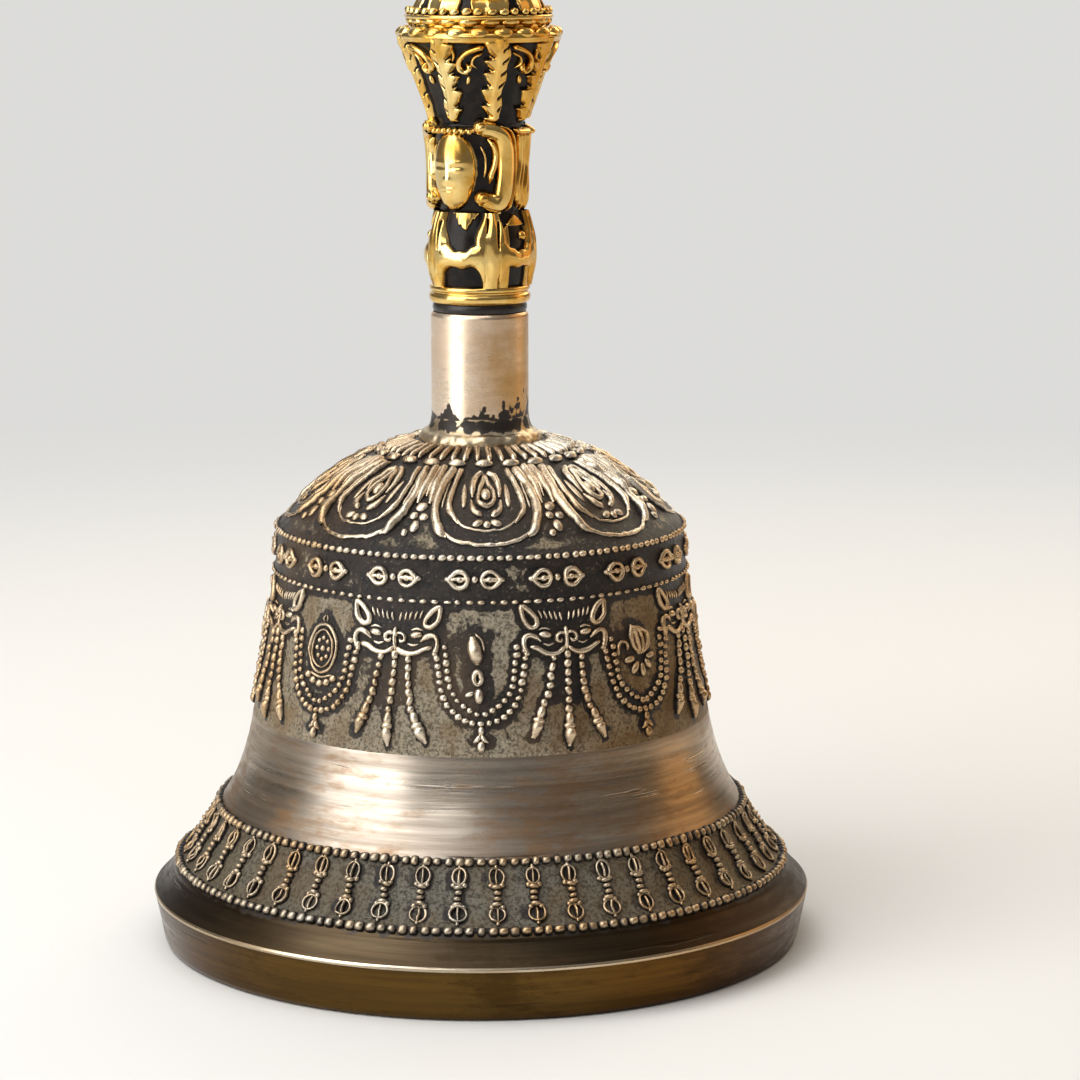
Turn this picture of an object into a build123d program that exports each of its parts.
"""Handled temple bell with a clapper, standing mouth down on its rim.

Millimetres, +Z up, origin at the centre of the mouth's rim plane, -Y towards the front of the bell.
Each function builds one sub-part, and main() writes each to parts/NODE.step.
"""

import os
from math import cos, radians, sin

from build123d import *

# Driving dimensions.
MOUTH_R = 50.0
LENGTH = 178.0

# Bell shell: the outer profile, from the rim up.
RIM_FOOT_R = 48.6
RIDGE_Z = 7.9
FLANGE_R, FLANGE_Z = 47.0, 11.2
BAND_LOW_R, BAND_LOW_Z = 46.2, 12.2
BAND_MID_R, BAND_MID_Z = 42.4, 16.5
BAND_HIGH_R, BAND_HIGH_Z = 39.8, 20.9
WAIST = [(37.4, 25.2), (35.2, 32.0), (33.3, 43.0)]
SHOULDER_LOW_R, SHOULDER_LOW_Z = 31.1, 57.0
SHOULDER_R, SHOULDER_Z = 30.5, 63.4
DOME_CENTRE_Z = 37.0
CROWN_R = 8.4
SPIGOT_R, SPIGOT_TOP_Z = 5.6, 81.0

# Bell shell: the inner profile, with a thick lip and a thinner waist and dome.
LIP_INNER_R = 44.4
INNER_WALL = [(42.4, 11.5), (35.9, 21.8), (32.9, 30.0), (30.4, 43.0), (28.3, 56.0)]
INNER_SHOULDER_R, INNER_SHOULDER_Z = 26.6, 62.4
INNER_CROWN_R, INNER_CROWN_Z = 9.0, 72.6

# Beaded mouldings: bead radius and the height of each row's centre.
BEAD_R = 0.62
BEAD_ROWS = {
    "shoulder_bead_ring": (SHOULDER_R + 0.1, SHOULDER_Z + 0.1),
    "waist_bead_ring": (SHOULDER_LOW_R + 0.05, SHOULDER_LOW_Z),
    "lip_upper_bead_ring": (BAND_HIGH_R + 0.1, BAND_HIGH_Z - 0.1),
    "lip_lower_bead_ring": (BAND_LOW_R + 0.1, BAND_LOW_Z + 0.3),
}

# Neck and the joint between bell and handle.
COLLAR_R, COLLAR_TOP_Z = 9.0, 78.6
SLEEVE_R, SLEEVE_BORE_R = 7.3, 5.6
SLEEVE_FOOT_Z, SLEEVE_TOP_Z = 76.6, 95.5
GROOVE_R, GROOVE_TOP_Z = 6.9, 97.0

# Handle, from the foot ring up to the tip of the half sceptre.
HANDLE_BORE_R = 3.6
FOOT_R, FOOT_TOP_Z = 7.55, 99.6
VASE_TOP_Z = 110.4
VASE_WALL = [(6.9, 99.6), (7.35, 103.0), (7.25, 106.5), (6.0, 110.4)]
DRAPE_PROUD = 0.75
DRAPE_FOLDS = 5
DRAPE_FOLD_TURN = 14.0
HEAD_TOP_Z = 122.6
HEAD_WALL = [(6.0, 110.4), (6.3, 113.0), (6.4, 118.0), (6.5, 122.6)]
FACE_TURN = -35.0
FACE_CENTRE_R, FACE_CENTRE_Z = 5.0, 116.8
FACE_HALF_WIDTH, FACE_HALF_DEPTH, FACE_HALF_HEIGHT = 3.5, 3.15, 6.0
EAR_FROM_FACE = 56.0
RIBBON_FROM_FACE = 118.0
CALYX_TOP_Z = 136.2
CALYX_WALL = [(6.5, 122.6), (7.4, 127.0), (9.6, 133.0), (11.2, 136.2)]
LEAF_COUNT = 8
LEAF_TURN = 15.0
LEAF_PROUD = 0.9
THRONE_R, THRONE_TOP_Z = 11.6, 139.6
HUB_R, HUB_TOP_Z = 8.2, 144.2
HUB_BORE_TOP_Z = 141.5

# Half sceptre: one centre prong and four outer prongs that rise from beast heads and close on it.
PRONG_COUNT = 4
PRONG_TURN = 10.0
PRONG_WIDTH, PRONG_DEPTH = 3.0, 2.4
PRONG_PATH = [(8.6, 145.2), (11.4, 149.0), (12.0, 156.0), (7.4, 165.0), (3.0, 170.8)]
BEAST_R, BEAST_Z = PRONG_PATH[0]
BEAST_HALF_SIZE = (2.3, 3.0, 2.5)
CENTRE_PRONG = [(0.0, 144.2), (2.0, 144.2), (2.9, 151.0), (2.2, 161.0), (1.4, 170.0), (0.0, 170.0)]
TIP_R, TIP_FOOT_Z = 2.3, 170.0

# Tie rod that holds the handle on the bell and carries the clapper.
ROD_R = 2.0
ROD_TOP_Z = HUB_BORE_TOP_Z
WASHER_R, WASHER_THICK = 6.0, 1.0
ROD_HEAD_R, ROD_HEAD_FOOT_Z = 3.0, 70.2
EYE_R, EYE_WIRE_R, EYE_Z = 3.0, 1.0, 67.6

# Clapper: link and clapper eye hang with this clearance, one ring on the next.
HANG_CLEARANCE = 0.25
LINK_R, LINK_WIRE_R = 4.0, 0.9
CLAPPER_EYE_R, CLAPPER_EYE_WIRE_R = 3.0, 1.0
BOB_R, BOB_Z = 8.0, 20.0
SHANK_TOP_R, SHANK_FOOT_R = 1.6, 2.6
NIB_R, NIB_FOOT_Z = 2.4, 9.6

EYE_BAR_Z = EYE_Z - EYE_R
LINK_Z = EYE_BAR_Z + EYE_WIRE_R + LINK_WIRE_R + HANG_CLEARANCE - LINK_R
LINK_BAR_Z = LINK_Z - LINK_R
CLAPPER_EYE_Z = LINK_BAR_Z + LINK_WIRE_R + CLAPPER_EYE_WIRE_R + HANG_CLEARANCE - CLAPPER_EYE_R
SHANK_TOP_Z = CLAPPER_EYE_Z - CLAPPER_EYE_R


def at(r, z):
    """A profile point at radius r and height z."""
    return (r, 0, z)


def dome_z(r):
    """Height of the dome's outer surface at radius r."""
    dome_radius_sq = SHOULDER_R**2 + (SHOULDER_Z - DOME_CENTRE_Z) ** 2
    return DOME_CENTRE_Z + (dome_radius_sq - r**2) ** 0.5


def turned(profile):
    """The solid of revolution of a closed profile about the bell's axis."""
    return revolve(profile, axis=Axis.Z, revolution_arc=360)


def closed(*lines):
    """A face bounded by lines that meet end to end."""
    return make_face(Curve() + list(lines))


def ring(inner_r, outer_r, low_z, high_z):
    """A plain tube."""
    corners = [at(inner_r, low_z), at(outer_r, low_z), at(outer_r, high_z), at(inner_r, high_z)]
    return turned(closed(Polyline(*corners, close=True)))


def around(solid, count, turn):
    """Copies of a solid that faces the front, spread evenly round the axis and turned by turn degrees."""
    return [Rot(Z=turn + i * 360 / count) * solid for i in range(count)]


def shell_profile():
    """Half section of the bell: rim, flange, band, waist, shoulder, dome, spigot, and the hollow inside."""
    dome_mid_r = 0.62 * SHOULDER_R
    outer = [
        Line(at(LIP_INNER_R, 0), at(RIM_FOOT_R - 1, 0)),
        ThreePointArc(
            at(RIM_FOOT_R - 1, 0),
            at(RIM_FOOT_R - 1 + sin(radians(45)), 1 - cos(radians(45))),
            at(RIM_FOOT_R, 1),
        ),
        Polyline(at(RIM_FOOT_R, 1), at(MOUTH_R, RIDGE_Z), at(FLANGE_R, FLANGE_Z), at(BAND_LOW_R, BAND_LOW_Z)),
        ThreePointArc(at(BAND_LOW_R, BAND_LOW_Z), at(BAND_MID_R, BAND_MID_Z), at(BAND_HIGH_R, BAND_HIGH_Z)),
        Spline(
            at(BAND_HIGH_R, BAND_HIGH_Z), *[at(*p) for p in WAIST], at(SHOULDER_LOW_R, SHOULDER_LOW_Z)
        ),
        Line(at(SHOULDER_LOW_R, SHOULDER_LOW_Z), at(SHOULDER_R, SHOULDER_Z)),
        ThreePointArc(
            at(SHOULDER_R, SHOULDER_Z),
            at(dome_mid_r, dome_z(dome_mid_r)),
            at(CROWN_R, dome_z(CROWN_R)),
        ),
        Polyline(
            at(CROWN_R, dome_z(CROWN_R)),
            at(CROWN_R, SLEEVE_FOOT_Z),
            at(SPIGOT_R, SLEEVE_FOOT_Z),
            at(SPIGOT_R, SPIGOT_TOP_Z),
            at(ROD_R, SPIGOT_TOP_Z),
            at(ROD_R, INNER_CROWN_Z),
            at(INNER_CROWN_R, INNER_CROWN_Z),
        ),
    ]
    inner = [
        ThreePointArc(
            at(INNER_CROWN_R, INNER_CROWN_Z),
            at(0.74 * INNER_SHOULDER_R, 69.0),
            at(INNER_SHOULDER_R, INNER_SHOULDER_Z),
        ),
        Spline(
            at(INNER_SHOULDER_R, INNER_SHOULDER_Z),
            *[at(*p) for p in reversed(INNER_WALL)],
            at(LIP_INNER_R, 0),
        ),
    ]
    return closed(*outer, *inner)


def bell_shell():
    """The cast bell: a hollow body with a thick flared lip and a spigot on its crown for the neck sleeve."""
    return turned(shell_profile())


def bead_ring(row_r, row_z):
    """A half-round moulding that stands on the shell, where a row of cast beads runs."""
    section = Plane.XZ * Pos(row_r, row_z) * Circle(BEAD_R)
    return turned(section - shell_profile())


def crown_collar():
    """A rounded ring round the foot of the neck sleeve, seated on the dome."""
    flare = Polyline(
        at(SLEEVE_R, SLEEVE_FOOT_Z),
        at(CROWN_R, SLEEVE_FOOT_Z),
        at(CROWN_R, dome_z(CROWN_R)),
        at(COLLAR_R, dome_z(COLLAR_R) + 0.1),
    )
    crest = ThreePointArc(
        at(COLLAR_R, dome_z(COLLAR_R) + 0.1), at(COLLAR_R - 0.2, 77.8), at(SLEEVE_R, COLLAR_TOP_Z)
    )
    return turned(closed(flare, crest, Line(at(SLEEVE_R, COLLAR_TOP_Z), at(SLEEVE_R, SLEEVE_FOOT_Z))))


def neck_sleeve():
    """The plain tube between bell and handle, pushed over the spigot."""
    return ring(SLEEVE_BORE_R, SLEEVE_R, SLEEVE_FOOT_Z, SLEEVE_TOP_Z)


def groove_ring():
    """A blackened spacer that leaves a narrow shadow gap under the handle."""
    return ring(HANDLE_BORE_R, GROOVE_R, SLEEVE_TOP_Z, GROOVE_TOP_Z)


def handle_foot_ring():
    """The gilt ring at the foot of the handle, with a rounded rim."""
    mid_z = (GROOVE_TOP_Z + FOOT_TOP_Z) / 2
    rim = ThreePointArc(at(FOOT_R - 0.35, GROOVE_TOP_Z), at(FOOT_R, mid_z), at(FOOT_R - 0.35, FOOT_TOP_Z))
    back = Polyline(
        at(FOOT_R - 0.35, FOOT_TOP_Z),
        at(HANDLE_BORE_R, FOOT_TOP_Z),
        at(HANDLE_BORE_R, GROOVE_TOP_Z),
        at(FOOT_R - 0.35, GROOVE_TOP_Z),
    )
    return turned(closed(rim, back))


def hollow_profile(wall, low_z, high_z):
    """Half section between the handle's bore and an outer wall given by its points."""
    back = Polyline(
        at(*wall[-1]), at(HANDLE_BORE_R, high_z), at(HANDLE_BORE_R, low_z), at(*wall[0])
    )
    return closed(Spline(*[at(*p) for p in wall]), back)


def vase_body():
    """The dark, rounded body of the treasure vase."""
    return turned(hollow_profile(VASE_WALL, FOOT_TOP_Z, VASE_TOP_Z))


def vase_drapery():
    """A gilt girdle on the vase with five hanging folds, a swag between each pair, and openings above and below."""
    skin = [(r + DRAPE_PROUD, z) for r, z in VASE_WALL]
    girdle = turned(
        hollow_profile(skin, FOOT_TOP_Z, VASE_TOP_Z) - hollow_profile(VASE_WALL, FOOT_TOP_Z, VASE_TOP_Z)
    )
    window = Box(5.4, 8, 3.0)
    mid_turn = DRAPE_FOLD_TURN + 180 / DRAPE_FOLDS
    for z in (101.6, 107.4):
        for cutter in around(Pos(0, -8, z) * window, DRAPE_FOLDS, mid_turn):
            girdle -= cutter
    return girdle


def head_core():
    """The head's dark inner body, which carries the face, ears and ribbons."""
    return turned(hollow_profile(HEAD_WALL, VASE_TOP_Z, HEAD_TOP_Z))


def ellipsoid(half_x, half_y, half_z):
    """An ellipsoid centred on the origin."""
    return scale(Sphere(1), by=(half_x, half_y, half_z))


def goddess_face():
    """A smooth oval face that bulges from the head core."""
    egg = Pos(0, -FACE_CENTRE_R, FACE_CENTRE_Z) * ellipsoid(
        FACE_HALF_WIDTH, FACE_HALF_DEPTH, FACE_HALF_HEIGHT
    )
    span = ring(HANDLE_BORE_R, 12, VASE_TOP_Z, HEAD_TOP_Z)
    return (Rot(Z=FACE_TURN) * egg - head_core()) & span


def strip_on_head(width, proud, low_z, high_z):
    """A rounded upright strip on the head core, facing the front."""
    strip = Pos(0, -6.2, (low_z + high_z) / 2) * Box(width, 2 * proud, high_z - low_z)
    strip = fillet(strip.edges().filter_by(Axis.Z), 0.4)
    return strip - head_core()


def ear_scrolls():
    """The long ears at both sides of the face."""
    ear = strip_on_head(3.4, 1.2, 111.2, 122.4)
    return [Rot(Z=FACE_TURN + side * EAR_FROM_FACE) * ear for side in (-1, 1)]


def hair_ribbons():
    """Upright ribbons behind the ears."""
    ribbon = strip_on_head(2.2, 1.1, 111.6, 122.4)
    return [Rot(Z=FACE_TURN + side * RIBBON_FROM_FACE) * ribbon for side in (-1, 1)]


def hair_knot():
    """The bound hair at the back of the head."""
    return Rot(Z=FACE_TURN + 180) * strip_on_head(3.6, 1.4, 111.6, 122.4)


def calyx_core():
    """The dark, flaring body behind the serrated leaves."""
    return turned(hollow_profile(CALYX_WALL, HEAD_TOP_Z, CALYX_TOP_Z))


def calyx_leaves():
    """Eight gilt leaves that lie on the calyx and flare with it."""
    skin = [(r + LEAF_PROUD, z) for r, z in CALYX_WALL]
    layer = turned(
        hollow_profile(skin, HEAD_TOP_Z, CALYX_TOP_Z) - hollow_profile(CALYX_WALL, HEAD_TOP_Z, CALYX_TOP_Z)
    )
    foot_z, tip_z, half_width = HEAD_TOP_Z, CALYX_TOP_Z, 2.1
    outline = Plane.XZ * make_face(
        Curve()
        + [
            ThreePointArc((-0.8, foot_z), (-half_width, (foot_z + tip_z) / 2), (-1.2, tip_z)),
            Line((-1.2, tip_z), (1.2, tip_z)),
            ThreePointArc((1.2, tip_z), (half_width, (foot_z + tip_z) / 2), (0.8, foot_z)),
            Line((0.8, foot_z), (-0.8, foot_z)),
        ]
    )
    stencil = extrude(outline, amount=16)
    return [leaf for cutter in around(stencil, LEAF_COUNT, LEAF_TURN) for leaf in (layer & cutter).solids()]


def lotus_throne():
    """The round plinth of the half sceptre, waisted between two rims."""
    low_z, top_z = CALYX_TOP_Z, THRONE_TOP_Z
    waist = ThreePointArc(at(THRONE_R, low_z + 1.0), at(THRONE_R - 1.4, low_z + 1.9), at(THRONE_R - 0.8, top_z))
    back = Polyline(
        at(THRONE_R - 0.8, top_z),
        at(HANDLE_BORE_R, top_z),
        at(HANDLE_BORE_R, low_z),
        at(THRONE_R, low_z),
        at(THRONE_R, low_z + 1.0),
    )
    return turned(closed(waist, back))


def vajra_hub():
    """The domed hub, which the tie rod's upper end screws into."""
    crown = ThreePointArc(at(HUB_R + 1.2, THRONE_TOP_Z), at(HUB_R, 142.4), at(4.0, HUB_TOP_Z))
    back = Polyline(
        at(4.0, HUB_TOP_Z),
        at(0, HUB_TOP_Z),
        at(0, HUB_BORE_TOP_Z),
        at(ROD_R, HUB_BORE_TOP_Z),
        at(ROD_R, THRONE_TOP_Z),
        at(HUB_R + 1.2, THRONE_TOP_Z),
    )
    return turned(closed(crown, back))


def central_prong():
    """The straight centre prong, swollen above its foot."""
    foot, sides, top = CENTRE_PRONG[:2], CENTRE_PRONG[1:5], CENTRE_PRONG[4:]
    return turned(
        closed(
            Line(*[at(*p) for p in foot]),
            Spline(*[at(*p) for p in sides]),
            Line(*[at(*p) for p in top]),
            Line(at(*CENTRE_PRONG[-1]), at(*CENTRE_PRONG[0])),
        )
    )


def beast_head():
    """The blunt body of one makara head, facing the front."""
    return Pos(0, -BEAST_R, BEAST_Z) * ellipsoid(*BEAST_HALF_SIZE)


def makara_heads():
    """Four beast heads on the hub, from whose mouths the outer prongs rise."""
    return around(beast_head() - vajra_hub(), PRONG_COUNT, PRONG_TURN)


def outer_prongs():
    """Four outer prongs that bow out from the beast heads and close on the centre prong."""
    path = Spline(*[(0, -r, z) for r, z in PRONG_PATH])
    section = Plane(path @ 0, x_dir=(1, 0, 0), z_dir=path % 0) * RectangleRounded(
        PRONG_WIDTH, PRONG_DEPTH, 0.6
    )
    prong = sweep(section, path=path) - vajra_hub() - beast_head() - central_prong() - tip_finial()
    return around(prong, PRONG_COUNT, PRONG_TURN)


def tip_finial():
    """The bud that closes the prongs at the top."""
    side = Spline(at(TIP_R, TIP_FOOT_Z), at(2.5, 171.6), at(1.5, 174.6), at(0.0, LENGTH))
    back = Polyline(at(0, LENGTH), at(0, TIP_FOOT_Z), at(TIP_R, TIP_FOOT_Z))
    return turned(closed(side, back))


def lac_core():
    """The lac poured round the tie rod, which fills the sleeve and the hollow handle."""
    return turned(
        closed(
            Polyline(
                at(ROD_R, SPIGOT_TOP_Z),
                at(SLEEVE_BORE_R, SPIGOT_TOP_Z),
                at(SLEEVE_BORE_R, SLEEVE_TOP_Z),
                at(HANDLE_BORE_R, SLEEVE_TOP_Z),
                at(HANDLE_BORE_R, THRONE_TOP_Z),
                at(ROD_R, THRONE_TOP_Z),
                close=True,
            )
        )
    )


def tie_rod():
    """The iron rod from hub to crown, with a head under the washer and an eye for the clapper."""
    washer_foot_z = INNER_CROWN_Z - WASHER_THICK
    shank = Pos(0, 0, washer_foot_z) * Cylinder(
        ROD_R, ROD_TOP_Z - washer_foot_z, align=(Align.CENTER, Align.CENTER, Align.MIN)
    )
    head = Pos(0, 0, ROD_HEAD_FOOT_Z) * Cylinder(
        ROD_HEAD_R, washer_foot_z - ROD_HEAD_FOOT_Z, align=(Align.CENTER, Align.CENTER, Align.MIN)
    )
    eye = Pos(0, 0, EYE_Z) * Rot(X=90) * Torus(EYE_R, EYE_WIRE_R)
    return shank + head + eye


def rod_washer():
    """The washer between the rod's head and the inside of the crown."""
    return ring(ROD_R, WASHER_R, INNER_CROWN_Z - WASHER_THICK, INNER_CROWN_Z)


def hanger_link():
    """The loose ring that hangs on the tie rod's eye."""
    return Pos(0, 0, LINK_Z) * Rot(Y=90) * Torus(LINK_R, LINK_WIRE_R)


def clapper_shank():
    """The tapered clapper shaft with its eye, octagonal as forged."""
    eye = Pos(0, 0, CLAPPER_EYE_Z) * Rot(X=90) * Torus(CLAPPER_EYE_R, CLAPPER_EYE_WIRE_R)
    foot_z = BOB_Z + (BOB_R**2 - SHANK_FOOT_R**2) ** 0.5
    top = Pos(0, 0, SHANK_TOP_Z) * RegularPolygon(SHANK_TOP_R, 8)
    foot = Pos(0, 0, foot_z) * RegularPolygon(SHANK_FOOT_R, 8)
    return eye + loft([foot, top]) - bob_ball()


def bob_ball():
    """The round striking end of the clapper."""
    return Pos(0, 0, BOB_Z) * Sphere(BOB_R)


def clapper_bob():
    """The striking ball and the nib under it."""
    nib = Pos(0, 0, NIB_FOOT_Z) * Cone(
        NIB_R * 0.6, NIB_R, BOB_Z - NIB_FOOT_Z, align=(Align.CENTER, Align.CENTER, Align.MIN)
    )
    return bob_ball() + nib


def clapper_collar():
    """A turned collar on the shank, just above the bob."""
    collar_z = BOB_Z + BOB_R + 2.2
    band = Pos(0, 0, collar_z) * Cylinder(SHANK_FOOT_R + 1.3, 2.0)
    band = fillet(band.edges(), 0.6)
    return band - clapper_shank()


def main():
    nodes = {
        "bell_shell": bell_shell(),
        "crown_collar": crown_collar(),
        "neck_sleeve": neck_sleeve(),
        "groove_ring": groove_ring(),
        "handle_foot_ring": handle_foot_ring(),
        "vase_body": vase_body(),
        "vase_drapery": vase_drapery(),
        "head_core": head_core(),
        "goddess_face": goddess_face(),
        "ear_scrolls": ear_scrolls(),
        "hair_ribbons": hair_ribbons(),
        "hair_knot": hair_knot(),
        "calyx_core": calyx_core(),
        "calyx_leaves": calyx_leaves(),
        "lotus_throne": lotus_throne(),
        "vajra_hub": vajra_hub(),
        "central_prong": central_prong(),
        "makara_heads": makara_heads(),
        "outer_prongs": outer_prongs(),
        "tip_finial": tip_finial(),
        "lac_core": lac_core(),
        "tie_rod": tie_rod(),
        "rod_washer": rod_washer(),
        "hanger_link": hanger_link(),
        "clapper_shank": clapper_shank(),
        "clapper_collar": clapper_collar(),
        "clapper_bob": clapper_bob(),
    }
    for name, (row_r, row_z) in BEAD_ROWS.items():
        nodes[name] = bead_ring(row_r, row_z)
    os.makedirs("parts", exist_ok=True)
    for name, made in nodes.items():
        solids = made if isinstance(made, list) else [made]
        export_step(Compound(children=[Compound(s.solids()) for s in solids]), f"parts/{name}.step")


main()
